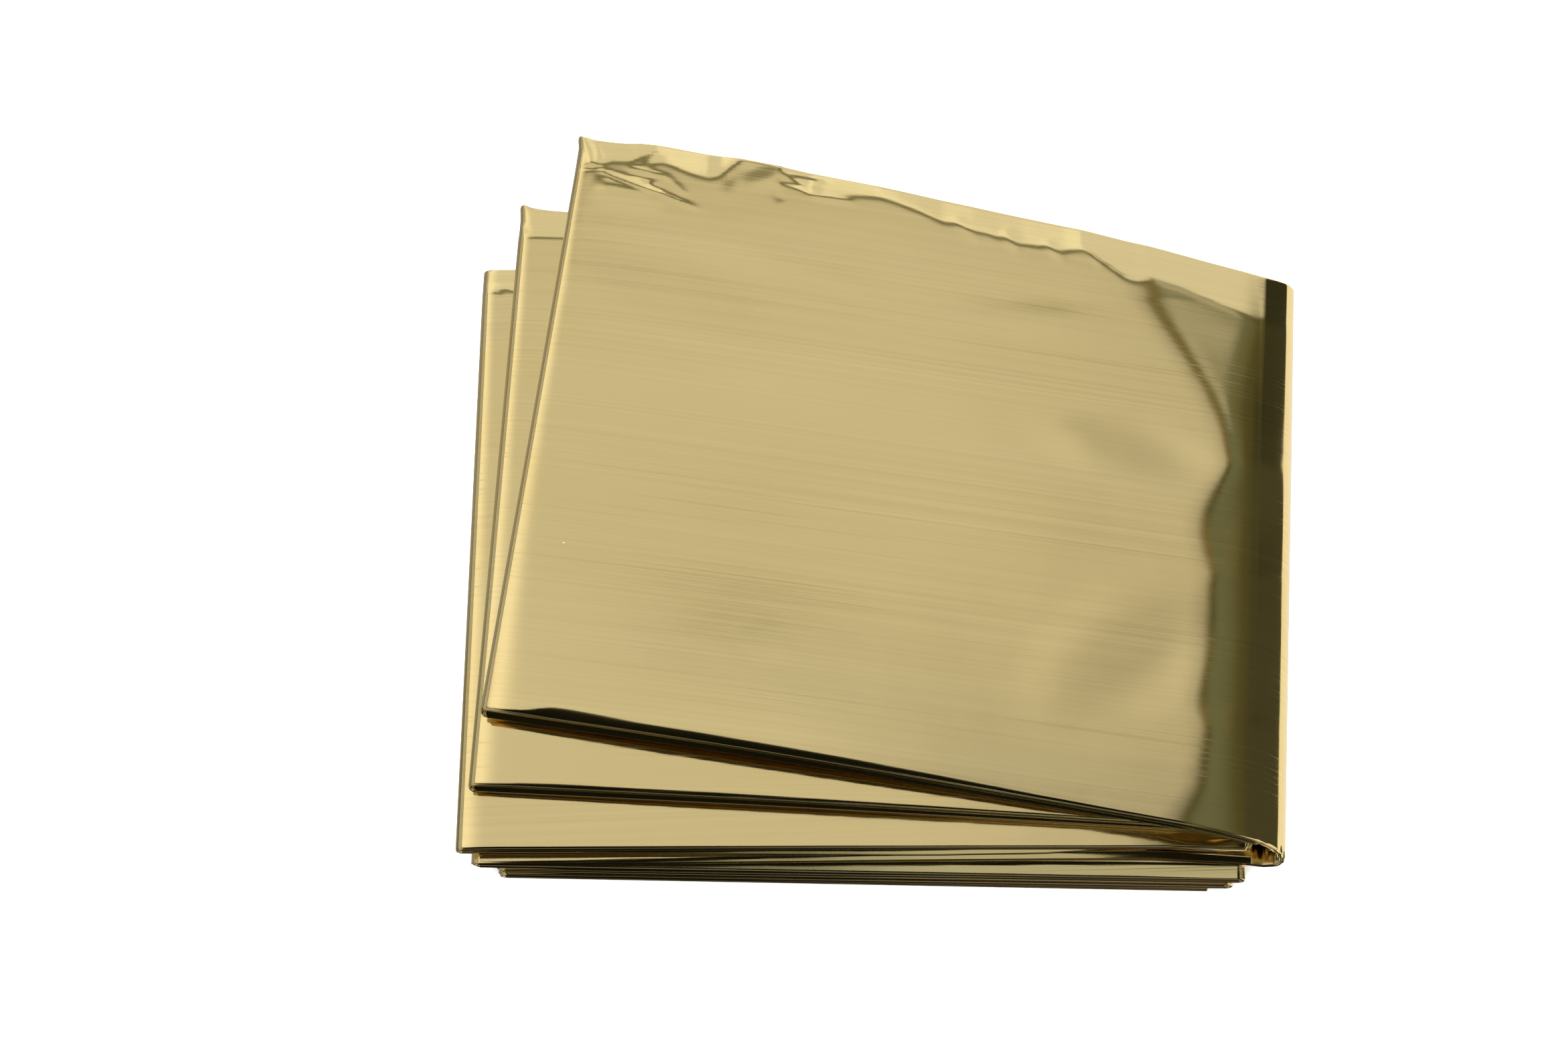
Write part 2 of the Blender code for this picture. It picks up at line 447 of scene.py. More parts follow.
CREASES = (
    # The crumple at the far left of the top panel: the long thin ridge that runs out of it, the
    # two folded lobes under it, and the short ridge beside it.
    Crease(1, (-35.0, 63.6), (-13.5, 54.4), 0.085, 0.28, 0.6, 0.25),
    Crease(1, (-34.4, 60.3), (-20.6, 57.2), 0.24, 2.2, 2.0, 0.3),
    Crease(1, (-27.6, 63.2), (-20.6, 61.4), 0.08, 0.9, 0.5),
    Crease(1, (-25.6, 61.3), (-20.6, 59.0), -0.05, 0.6, 0.8),
    Crease(1, (-21.4, 62.2), (-17.0, 57.4), 0.06, 0.3, 0.6),
    Crease(1, (-36.9, 63.2), (-31.4, 63.0), -0.07, 0.4, 0.5),
    Crease(1, (-35.6, 69.6), (-33.6, 63.4), 0.07, 0.4, 0.9),
    Crease(1, (-33.4, 68.8), (-31.8, 64.4), -0.03, 0.6, 0.6),
    # The crumple past the gap in the far strip, and the dents along the strip's lower edge.
    Crease(1, (-1.6, 61.0), (6.6, 58.4), -0.07, 0.5, 0.8),
    Crease(1, (0.0, 62.4), (8.6, 60.6), 0.05, 0.5, 0.5),
    Crease(1, (4.0, 58.0), (12.6, 56.4), 0.05, 0.6, 0.5),
    Crease(1, (-1.8, 59.4), (-0.6, 56.4), -0.04, 0.7, 0.7),
    Crease(1, (29.0, 53.8), (34.5, 48.6), 0.05, 0.8, 1.2),
    Crease(1, (38.0, 51.5), (41.0, 46.4), 0.06, 0.7, 1.4),
    Crease(1, (45.0, 49.4), (49.0, 44.6), 0.05, 0.7, 1.0),
    Crease(1, (52.6, 48.0), (55.6, 43.4), 0.04, 0.6, 0.9),
    # Old folds across the top panel.
    Crease(1, (-38.6, 52.2), (-4.0, 46.4), 0.028, 1.0, 1.8, 0.3),
    Crease(1, (-14.0, 49.0), (22.0, 37.0), 0.025, 1.2, 2.6, 0.3),
    # The far left corners of the second and third fans.
    Crease(2, (-47.6, 56.6), (-45.8, 51.6), 0.09, 0.5, 0.8),
    Crease(2, (-46.4, 55.6), (-44.8, 51.8), -0.06, 0.4, 0.5),
    Crease(2, (-47.2, 53.6), (-44.2, 54.6), 0.05, 0.4, 0.5),
    Crease(3, (-54.0, 45.6), (-51.6, 42.2), 0.08, 0.5, 0.6),
    Crease(3, (-53.4, 43.6), (-49.0, 42.2), -0.08, 0.5, 0.7),
    Crease(3, (-52.0, 42.6), (-47.6, 43.2), 0.09, 0.5, 0.6),
)

FACETS = (
    Facet(1, (-24.0, 61.0), 2.4, 0.9, -22.0, -0.03, 0.10, 1.4),
    Facet(1, (-4.0, 62.0), 3.0, 2.4, 0.0, -0.03, 0.03),
    Facet(1, (-22.6, 66.4), 3.4, 1.4, 38.0, 0.02, -0.10, 1.2),
    Facet(1, (-9.6, 63.2), 1.4, 3.0, -10.0, 0.03, -0.05, 1.4),
    Facet(1, (4.0, 61.4), 2.6, 0.8, -14.0, 0.0, -0.13, 1.4),
    Facet(1, (11.6, 62.2), 2.0, 0.8, -12.0, 0.0, -0.13, 1.4),
    Facet(1, (44.0, 36.0), 12.0, 3.6, -8.0, 0.0, 0.035, 1.3),
    Facet(1, (58.0, 10.0), 12.0, 5.0, -14.0, 0.03, 0.02),
    Facet(1, (56.0, -26.0), 16.0, 9.0, 32.0, 0.025, -0.02),
    Facet(1, (20.0, 4.0), 30.0, 16.0, -12.0, -0.008, 0.01),
    Facet(1, (-20.0, 40.0), 16.0, 9.0, -10.0, 0.012, 0.012),
)


@dataclass(frozen=True)
class FrontCurl:
    """The strip along a panel's front edge that curls down, with its width over X."""

    panel: str
    widths: Line
    slope: float = 0.24
    softness: float = 1.0

    def relief(self, across: Array, along: Array) -> Array:
        """Minus slope times the ramp length past the line where the curl starts.

        Args:
            across: X of the places.
            along: Y of the places.

        Returns:
            The height that the curl takes off there.
        """
        edge = BY_NAME[self.panel].edge_line(0.0, across)
        if self.panel in RETREATS:
            edge = edge + line_at(RETREATS[self.panel], across)
        start = edge + line_at(self.widths, across)
        return -self.slope * ramp_length(start - along, self.softness)


# Slope and softness of the curls on panels that show only at the front.
LOOSE_CURL = (0.28, 0.3)
TIGHT_CURL = (0.42, 0.2)
CURLS = (
    FrontCurl(
        "fan_1_upper",
        (
            (-50.0, 0.3), (-46.5, 0.6), (-44.5, 1.0), (-43.0, 1.4), (-41.5, 1.8), (-39.5, 2.4),
            (-37.8, 2.7), (-35.5, 2.8), (-33.2, 2.75), (-28.2, 2.5), (-24.0, 2.3), (-12.0, 2.2),
            (3.0, 2.1), (25.0, 1.8), (45.0, 1.3), (66.0, 0.5), (75.5, 0.4), (77.8, 1.2),
            (81.0, 1.5), (83.4, 1.2), (86.0, 0.8),
        ),
    ),
    FrontCurl(
        "fan_2_upper",
        (
            (-52.0, 0.2), (-48.5, 0.3), (-46.5, 0.6), (-44.0, 1.0), (-38.0, 1.2), (-10.0, 1.2),
            (30.0, 1.0), (80.0, 0.7),
        ),
        softness=0.6,
    ),
    FrontCurl("fan_3_upper", ((-54.0, 0.2), (-46.0, 0.5), (80.0, 0.4)), softness=0.3),
    FrontCurl("fan_1_lower", ((-50.0, 1.6), (40.0, 1.4), (76.0, 0.8)), *LOOSE_CURL),
    FrontCurl("fan_2_lower", ((-50.0, 1.4), (40.0, 1.2), (76.0, 0.8)), *LOOSE_CURL),
    FrontCurl("fan_3_lower", ((-50.0, 0.3), (0.0, 1.0), (60.0, 1.5)), *TIGHT_CURL),
    FrontCurl("wrap_under", ((-50.0, 0.4), (0.0, 1.2), (62.0, 1.5), (70.0, 0.4)), *TIGHT_CURL),
    FrontCurl("base_1", ((-50.0, 0.5), (0.0, 1.5), (64.0, 2.9), (76.0, 2.4)), *TIGHT_CURL),
)
# The panels whose top films take a relief, from the bottom up.
RELIEF_PANELS = sorted({curl.panel for curl in CURLS}, key=lambda name: BY_NAME[name].level)


@dataclass(frozen=True)
class Shoulder:
    """The rounding of each fan's top film before it goes over the fold at the left."""

    slope: float = 0.16
    front_width: float = 6.4
    far_width: float = 2.6

    def relief(self, panel: Panel, across: Array, along: Array) -> Array:
        """The film's slope grows as t^2 from the start of the rounding to the fold, where t is 1.

        Args:
            panel: The fan's upper panel.
            across: X of the places.
            along: Y of the places.

        Returns:
            The height that the rounding takes off there: slope width t^3 / 3.
        """
        back = along - panel.left_front
        end = panel.left + back * math.tan(math.radians(panel.left_lean))
        spread = smooth_step(back / CUT.depth)
        width = self.front_width + (self.far_width - self.front_width) * spread
        share = np.clip((end + width - across) / width, 0.0, 1.0)
        past = np.maximum(end - across, 0.0)
        return -self.slope * (width * share**3 / 3 + past)


SHOULDER = Shoulder()


@dataclass(frozen=True)
class Ear:
    """A corner of the film that is pulled out to a tip, in a layer between two heights."""

    tip: tuple[float, float]
    reach: float
    pull: tuple[float, float]
    height: tuple[float, float]
    softness: float = 0.6

    def shift(self, points: Array) -> Array:
        """The pull times exp(-(distance / reach)^2), for points between the two heights.

        Args:
            points: Points in plan millimetres.

        Returns:
            What is added to X and Y.
        """
        away = np.hypot(points[..., 0] - self.tip[0], points[..., 1] - self.tip[1]) / self.reach
        low, high = self.height
        inside = smooth_step((points[..., 2] - low) / self.softness) * (points[..., 2] < high)
        return (np.exp(-(away**2)) * inside)[..., None] * np.array(self.pull)


EARS = (
    Ear((-36.3, 69.0), 1.7, (-0.5, 1.6), (16.0, 30.0)),
    Ear((-29.5, 69.5), 3.6, (0.0, -0.45), (16.0, 30.0)),
    Ear((-46.4, 57.6), 1.8, (-0.3, 1.0), (12.6, 16.0)),
)


def droop_depth(fan: int, across: Array, along: Array) -> Array:
    """How far a fan's far strip has tilted down, in millimetres.

    Args:
        fan: Number of the fan, or 0 for the panels under the fans.
        across: X of the places.
        along: Y of the places.

    Returns:
        The slope times the ramp length past the droop's line.
    """
    for droop in DROOPS:
        if droop.fan == fan:
            return droop.slope * ramp_length(along - line_at(droop.line, across), droop.softness)
    return np.zeros_like(across)


def arch_height(panel: Panel, across: Array, along: Array) -> Array:
    """How far the arches of this fan and of those under it raise these places.

    Args:
        panel: The panel.
        across: X of the places.
        along: Y of the places.

    Returns:
        The sum of height exp(-side^2 - back^2) over the arches.
    """
    height = np.zeros_like(across)
    for arch in ARCHES:
        if panel.fan and panel.fan <= arch.fan:
            front = BY_NAME[f"fan_{arch.fan}_upper"].edge_line(0.0, across)
            back = np.maximum(along - front, 0.0) / arch.reach
            side = (across - arch.middle) / arch.half_width
            height += arch.height * np.exp(-(side**2) - back**2)
    return height


def sink_depth(panel: Panel, across: Array, along: Array) -> Array:
    """How far the panels above the free end sink past that end.

    Args:
        panel: The panel.
        across: X of the places.
        along: Y of the places.

    Returns:
        The depth in millimetres.
    """
    if panel.level <= FREE_END.level:
        return np.zeros_like(across)
    lean = math.tan(math.radians(FREE_END.right_lean))
    end = FREE_END.right + (along - FREE_END.right_front) * lean
    return PITCH * smooth_step((across - end - SINK_CLEARANCE) / SINK_LENGTH)


def panel_height(panel: Panel, across: Array, along: Array) -> Array:
    """Height of a panel's middle: its level, plus the arches and minus the droop and the sink."""
    height = (panel.level - 1) * PITCH + CUT.half_stack + arch_height(panel, across, along)
    return height - droop_depth(panel.fan, across, along) - sink_depth(panel, across, along)


def relief_of(panel: Panel, across: Array, along: Array) -> Array:
    """The creases, facets and curl of one panel's top film.

    Args:
        panel: The panel.
        across: X of the places.
        along: Y of the places.

    Returns:
        The height that they add there.
    """
    height = np.zeros_like(across)
    for curl in CURLS:
        if curl.panel == panel.name:
            height += curl.relief(across, along)
    if panel.fan and panel.run is R:
        for form in (*CREASES, *FACETS):
            if form.fan == panel.fan:
                height += form.relief(across, along)
        height += SHOULDER.relief(panel, across, along)
    return height


def settle(points: Array) -> Array:
    """Presses the creases into the top films, then lets the right side fall.

    A crease moves the film by its full height and the plies under it by less and less, down to
    none at the bottom of the panel. The fall brings the top film down to its own surface and
    everything between it and the panel under the fans in proportion.

    Args:
        points: Points of the folded sheet, in plan millimetres.

    Returns:
        The moved points.
    """
    across, along, height = points[..., 0], points[..., 1], points[..., 2]
    for name in RELIEF_PANELS:
        panel = BY_NAME[name]
        top = panel_height(panel, across, along) + CUT.half_stack
        share = smooth_step((height - top) / (2 * CUT.half_stack) + 1.0)
        share = np.where(height > top + CUT.ply_gap, 0.0, share)
        height = height + relief_of(panel, across, along) * share
    top = (TOP.level - 1) * PITCH + 2 * CUT.half_stack
    sink = sink_depth(TOP, across, along)
    end_x = np.minimum(across, TOP.ends((along - TOP.right_front) / CUT.depth)[2])
    extra = FALL.depth(end_x, along) - sink
    ratio = 1.0 - extra / (top - sink - FALL.floor_height)
    above = np.maximum(height - FALL.floor_height, 0.0)
    height = np.minimum(height, FALL.floor_height) + above * ratio
    settled = np.stack([across, along, height], axis=-1)
    for ear in EARS:
        settled[..., :2] += ear.shift(settled)
    return settled


@dataclass(frozen=True)
class LoopCurve:
    """The long loop's profile, rounded at its corners and eased into the panels at its ends.

    corners runs from the top panel down to the one under the fans: how far the loop stands out
    past the panels' ends, in millimetres, and its height as a share of half_height.
    """

    corners: Line = (
        (-0.9, 1.16), (0.0, 1.0), (1.6, 0.71), (2.6, 0.51), (3.6, 0.29), (4.3, -0.05),
        (4.9, -0.5), (4.2, -0.9), (2.2, -1.04), (0.0, -1.0), (-0.6, -1.0),
    )
    half_height: float = 4.0
    rounding: float = 0.28
    bell_reach: int = 3
    ease: float = 1.8
    samples: int = 600

    def sampled(self) -> tuple[Array, Array, Array, Array]:
        """Evenly spaced points of the polyline, averaged with a bell as wide as the rounding.

        Returns:
            out in millimetres, up as a share, and the normal's parts along out and up.
        """
        corners = np.array(self.corners) * (1.0, self.half_height)
        steps = np.hypot(*np.diff(corners, axis=0).T)
        reach = np.concatenate([[0.0], np.cumsum(steps)])
        spots = np.linspace(0.0, reach[-1], self.samples)
        line = np.stack([np.interp(spots, reach, corners[:, i]) for i in (0, 1)], axis=-1)
        spacing = spots[1]
        count = int(self.bell_reach * self.rounding / spacing)
        bell = np.exp(-((np.arange(-count, count + 1) * spacing / self.rounding) ** 2) / 2)
        bell /= bell.sum()
        padded = np.pad(line, ((count, count), (0, 0)), mode="reflect", reflect_type="odd")
        line = np.stack([np.convolve(padded[:, i], bell, "valid") for i in (0, 1)], axis=-1)
        keep = (spots >= steps[0]) & (spots <= reach[-1] - steps[-1])
        tangent = np.gradient(line, axis=0)
        tangent /= np.linalg.norm(tangent, axis=1, keepdims=True)
        line, tangent = line[keep], tangent[keep]
        gone = np.arange(len(line)) * spacing
        ends = ((gone, corners[1], (1.0, 0.0)), (gone[::-1], corners[-2], (-1.0, 0.0)))
        for near, end, flat in ends:
            weight = (1.0 - smooth_step(near / self.ease))[:, None]
            line = line + (end - line[np.argmin(near)]) * weight
            tangent = tangent + (np.array(flat) - tangent) * weight
        return line[:, 0], line[:, 1] / self.half_height, -tangent[:, 1], tangent[:, 0]


LOOP = LoopCurve()

# Lines pressed along the outer ply of each short fold.
FOLD_LINES = 15.0
FOLD_LINE_HEIGHT = 0.022

# How far the fans' folds at the left reach out, as a share of half a circle's radius.
FAN_FOLD_REACH = 0.76


@dataclass(frozen=True)
class Stretch:
    """A stretch of the band: a panel, or the fold from one panel to the panel after it."""

    start: Panel
    finish: Panel | None = None

    def panel_middle(self, panel: Panel, steps: Array, shares: Array) -> Array:
        """Points of a panel's middle surface, from left to right.

        Args:
            panel: The panel.
            steps: Shares of the way from its left end to its right end.
            shares: Shares of the band's depth.

        Returns:
            The points: straight lines between the two ends, with the far bow added.
        """
        left_x, left_y, right_x, right_y = panel.ends(shares)
        across = left_x + (right_x - left_x) * steps
        along = left_y + (right_y - left_y) * steps
        if panel.fan == TOP.fan:
            bow = np.sin(np.pi * np.sqrt(np.clip(steps, 0.0, 1.0)))
            along = along + FAR_BOW * np.clip(shares, 0.0, 1.0) ** 3 * bow
        if panel.name in RETREATS:
            felt = smooth_step(1.0 - shares * CUT.depth / RETREAT_REACH)
            along = along + line_at(RETREATS[panel.name], across) * felt
        return np.stack([across, along, panel_height(panel, across, along)], axis=-1)

    def points(self, steps: Array, shares: Array, offset: Array) -> Array:
        """Points of the film on this stretch.

        Args:
            steps: Shares of the way along the stretch, in the band's direction.
            shares: Shares of the band's depth.
            offset: Distance of the film from the band's middle surface.

        Returns:
            The points in plan millimetres.
        """
        side = self.start.run.value
        if self.finish is None:
            middle = self.panel_middle(self.start, steps if side > 0 else 1.0 - steps, shares)
            middle[..., 2] += side * offset
            return middle
        last = np.full_like(steps, 1.0 if side > 0 else 0.0)
        before = self.panel_middle(self.start, last, shares)
        after = self.panel_middle(self.finish, last, shares)
        middle = (before + after) / 2
        half = (before - after) / 2
        lean = math.radians(self.start.right_lean if side > 0 else self.start.left_lean)
        outward = side * np.array([math.cos(lean), -math.sin(lean), 0.0])
        upward = np.array([0.0, 0.0, 1.0])
        if self.start is TOP:
            out, up, normal_out, normal_up = self.loop_profile(steps)
            out = out + offset * normal_out
            rise = (offset * normal_up)[..., None] * upward
            return middle + up[..., None] * half + rise + out[..., None] * outward
        angle = steps * math.pi
        radius = np.abs(half[..., 2])
        outer = side * np.sign(half[..., 2]) * offset
        pressed = np.sin(FOLD_LINES * angle) * np.sin(angle) * FOLD_LINE_HEIGHT
        outer = outer + np.where(outer >= CUT.half_stack - CUT.ply_gap, pressed, 0.0)
        stand = half + (side * offset)[..., None] * upward
        reach = (radius + outer) * np.sin(angle)
        if side < 0 and self.start.fan:
            reach = reach * FAN_FOLD_REACH
        return middle + np.cos(angle)[..., None] * stand + reach[..., None] * outward

    @staticmethod
    def loop_profile(steps: Array) -> tuple[Array, Array, Array, Array]:
        """The long loop's profile at these steps.

        Args:
            steps: Shares of the way along the loop.

        Returns:
            out, up, and the normal's parts along out and up.
        """
        columns = LOOP.sampled()
        spots = np.linspace(0.0, 1.0, len(columns[0]))
        return tuple(np.interp(steps, spots, column) for column in columns)


@dataclass(frozen=True)
class BundleRow:
    """How far each bundle of plies stands back from a panel's two long edges."""

    front: Triple
    far: Triple


EVEN_BUNDLES = BundleRow((0.15, 0.0, 0.3), (0.1, 0.0, 0.2))
BUNDLES = {
    "fan_1_upper": BundleRow((0.06, 0.0, 0.3), (0.0, 0.5, 0.2)),
    "fan_1_lower": BundleRow((0.6, 0.45, 0.0), (0.0, 0.5, 0.2)),
    "fan_2_upper": BundleRow((0.05, 0.0, 0.3), (0.0, 0.4, 0.2)),
    "fan_2_lower": BundleRow((0.3, 0.3, 0.0), (0.0, 0.4, 0.2)),
    "fan_3_upper": BundleRow((0.1, 0.0, 0.3), (0.0, 0.3, 0.1)),
    "wrap_under": BundleRow((0.3, 0.2, 0.0), (0.1, 0.0, 0.2)),
    "fan_3_lower": BundleRow((0.3, 0.1, 0.0), (0.1, 0.0, 0.2)),
    "base_1": BundleRow((0.0, 0.2, 0.3), (0.1, 0.0, 0.2)),
    "base_3": BundleRow((0.0, 0.3, 0.2), (0.1, 0.0, 0.2)),
}


@dataclass(frozen=True)
class Film:
    """The sheet itself: its mesh is a patch for each stretch of the band and part of a ply.

    The fields say how fine the mesh is, as steps or as parts of a row of points from a panel's
    front edge or from the start of its run.
    """

    coarse_fan: int = 20
    coarse_base: int = 8
    coarse_flat: int = 4
    second_film: int = 60
    nose_steps: int = 4
    fold_steps: int = 6
    outer_fold_steps: int = 10
    lined_fold_steps: int = 40
    loop_steps: int = 44
    top_columns: Parts = ((0.0, 0.05, 26), (0.05, 1.0, 168))
    fan_columns: Parts = ((0.0, 0.12, 25), (0.12, 1.0, 24))
    top_rows: Parts = ((0.0, 0.06, 14), (0.06, 0.86, 72), (0.86, 1.0, 42))
    fan_rows: Parts = ((0.0, 0.024, 11), (0.024, 0.9, 21), (0.9, 1.0, 21))
    second_rows: Parts = ((0.0, 0.1, 5), (0.1, 1.0, 20))
    curled_rows: Parts = ((0.0, 0.03, 13), (0.03, 1.0, 7))

    @staticmethod
    def graded(parts: Parts) -> Array:
        """Even points in each part, with the point that two parts share only once."""
        before = [np.linspace(*part)[:-1] for part in parts[:-1]]
        return np.concatenate([*before, np.linspace(*parts[-1])])

    @staticmethod
    def even(count: int) -> Array:
        """This many even steps from 0 to 1."""
        return np.linspace(0.0, 1.0, count + 1)

    def columns(self, stretch: Stretch, ply: Ply) -> Array:
        """Steps along a stretch for one ply, closer where the film shows.

        Args:
            stretch: The stretch of the band.
            ply: The ply.

        Returns:
            The steps, from 0 to 1.
        """
        start = stretch.start
        if stretch.finish:
            if start is TOP:
                return self.even(self.loop_steps)
            if ply.rung:
                return self.even(self.fold_steps)
            lined = start.fan > 0 and start.run is L
            return self.even(self.lined_fold_steps if lined else self.outer_fold_steps)
        if start is TOP and ply.rung < 2:
            return self.even(self.second_film) if ply.rung else self.graded(self.top_columns)
        if ply.rung == 0 and start.fan and start.run is R:
            return self.graded(self.fan_columns)
        return self.even(self.coarse_fan if start.fan else self.coarse_base)

    def rows(self, stretch: Stretch, ply: Ply) -> Array:
        """Shares of the flat of a ply, closer where the film shows.

        Args:
            stretch: The stretch of the band.
            ply: The ply.

        Returns:
            The shares from 0 to 1, in the sheet's direction.
        """
        start, finish = stretch.start, stretch.finish
        fans = {start.fan, finish.fan if finish else start.fan}
        top_rung = 0 if start.run is R else CUT.plies - 1
        curled = start.name in RELIEF_PANELS and not (start.fan and start.run is R)
        shares = self.even(self.coarse_flat)
        if not finish and ply.rung == top_rung and curled:
            shares = self.graded(self.curled_rows)
        elif ply.rung == 0 and (finish or start.run is R):
            if TOP in (start, finish):
                shares = self.graded(self.top_rows)
            elif 0 not in fans:
                shares = self.graded(self.fan_rows)
        elif ply.rung == 1 and fans & {1, 2}:
            shares = self.graded(self.second_rows)
        return shares if ply.to_far else 1.0 - shares[::-1]

    def flat_ends(self, stretch: Stretch, ply: Ply, steps: Array) -> tuple[Array, Array]:
        """Where a ply's flat starts and ends, in millimetres from the band's front edge.

        Args:
            stretch: The stretch of the band.
            ply: The ply.
            steps: Steps along the stretch.

        Returns:
            The front end and the far end, blended along a fold from one panel to the next.
        """
        first = BUNDLES.get(stretch.start.name, EVEN_BUNDLES)
        second = BUNDLES.get(stretch.finish.name, EVEN_BUNDLES) if stretch.finish else first
        front = first.front[ply.front_bundle] * (1 - steps) + second.front[ply.front_bundle] * steps
        far = first.far[ply.far_bundle] * (1 - steps) + second.far[ply.far_bundle] * steps
        return CUT.nose_reach + front, CUT.depth - CUT.nose_reach - far

    def flat_patch(self, stretch: Stretch, number: int) -> tuple[Array, Array]:
        """The flat of one ply on one stretch.

        Args:
            stretch: The stretch of the band.
            number: Number of the ply in the sheet's order.

        Returns:
            The points, a row for each step along the stretch, and their places on the sheet.
        """
        ply = PLIES[number]
        steps = self.columns(stretch, ply)[:, None]
        shares = self.rows(stretch, ply)[None, :]
        front, far = self.flat_ends(stretch, ply, steps)
        share = shares if ply.to_far else 1.0 - shares
        depth = front + (far - front) * share
        steps, depth = np.broadcast_arrays(steps, depth)
        offset = np.full(depth.shape, ply.offset)
        points = stretch.points(steps.copy(), depth / CUT.depth, offset)
        return points, self.sheet_places(stretch, steps, (number + shares + 0 * steps))

    def nose_patch(self, stretch: Stretch, number: int) -> tuple[Array, Array]:
        """The turn of the film from one ply into the next.

        The turn is half an ellipse: depth goes out by reach sin b, and the offset goes from the
        one ply to the other as a cosine.

        Args:
            stretch: The stretch of the band.
            number: Number of the ply that the turn comes from.

        Returns:
            The points, a row for each step along the stretch, and their places on the sheet.
        """
        ply, following = PLIES[number], PLIES[number + 1]
        shown = ply if ply.rung < following.rung else following
        steps = self.columns(stretch, shown)[:, None]
        turn = self.even(self.nose_steps)[None, :] * math.pi
        front, far = self.flat_ends(stretch, ply, steps)
        gap = ply.offset - following.offset
        reach = CUT.nose_softness * abs(gap) / 2
        depth = far + reach * np.sin(turn) if ply.to_far else front - reach * np.sin(turn)
        offset = (ply.offset + following.offset) / 2 + np.cos(turn) * gap / 2
        steps, depth, offset = np.broadcast_arrays(steps, depth, offset)
        points = stretch.points(steps.copy(), depth / CUT.depth, offset)
        return points, self.sheet_places(stretch, steps, number + 1.0 + 0 * depth)

    def sheet_places(self, stretch: Stretch, steps: Array, plies: Array) -> Array:
        """Places on the open sheet, in metres along its width and its length.

        Args:
            stretch: The stretch of the band.
            steps: Steps along the stretch.
            plies: Plies from the sheet's cut end.

        Returns:
            The two coordinates of each point.
        """
        panel = PANELS.index(stretch.start)
        along = panel + 1.0 + 0 * steps if stretch.finish else panel + steps
        along, plies = np.broadcast_arrays(along, plies)
        size = (CUT.width / CUT.panels, CUT.depth)
        return np.stack([along * size[0], plies * size[1]], axis=-1) * MM

    def build(self) -> bpy.types.Object:
        """Joins every patch into one mesh of the whole sheet.

        Returns:
            The new object.
        """
        points: list[Array] = []
        places: list[Array] = []
        faces: list[Array] = []
        count = 0
        stretches = [Stretch(PANELS[0])]
        for start, finish in zip(PANELS, PANELS[1:]):
            stretches += [Stretch(start, finish), Stretch(finish)]
        for stretch in stretches:
            for number in range(len(PLIES)):
                patches = [self.flat_patch(stretch, number)]
                if number + 1 < len(PLIES):
                    patches.append(self.nose_patch(stretch, number))
                for spots, sheet in patches:
                    rows, columns = spots.shape[:2]
                    index = np.arange(rows * columns).reshape(rows, columns) + count
                    corners = (index[:-1, :-1], index[:-1, 1:], index[1:, 1:], index[1:, :-1])
                    faces.append(np.stack(corners, axis=-1).reshape(-1, 4))
                    points.append(spots.reshape(-1, 3))
                    places.append(sheet.reshape(-1, 2))
                    count += rows * columns
        everything = settle(np.concatenate(points))
        everything[:, :2] -= PLAN_CENTRE
        return new_piece(
            "gold_film_sheet", everything * MM, np.concatenate(faces), np.concatenate(places)
        )


def new_piece(name: str, points: Array, faces: Array, places: Array) -> bpy.types.Object:
    """Makes a mesh object from arrays, with equal points joined and smooth shading.

    Args:
        name: Name of the object.
        points: Points in metres.
        faces: Four point numbers a face.
        places: Sheet coordinates of each point, which become the UV map.

    Returns:
        The new object, linked to the scene.
    """
    _, first, index = np.unique(
        np.round(points / JOIN_GRID).astype(np.int64),
        axis=0,
        return_index=True,
        return_inverse=True,
    )
    loops = index.reshape(-1)[faces]
    mesh = bpy.data.meshes.new(name)
    mesh.vertices.add(len(first))
    mesh.vertices.foreach_set("co", points[first].astype(np.float32).reshape(-1))
    mesh.loops.add(loops.size)
    mesh.loops.foreach_set("vertex_index", loops.reshape(-1).astype(np.int32))
    mesh.polygons.add(len(loops))
    mesh.polygons.foreach_set("loop_start", np.arange(0, loops.size, 4, dtype=np.int32))
    layer = mesh.uv_layers.new(name="sheet")
    layer.data.foreach_set("uv", places[faces.reshape(-1)].astype(np.float32).reshape(-1))
    mesh.update(calc_edges=True)
    mesh.validate()
    mesh.polygons.foreach_set("use_smooth", np.ones(len(mesh.polygons), bool))
    piece = bpy.data.objects.new(name, mesh)
    bpy.context.scene.collection.objects.link(piece)
    return piece


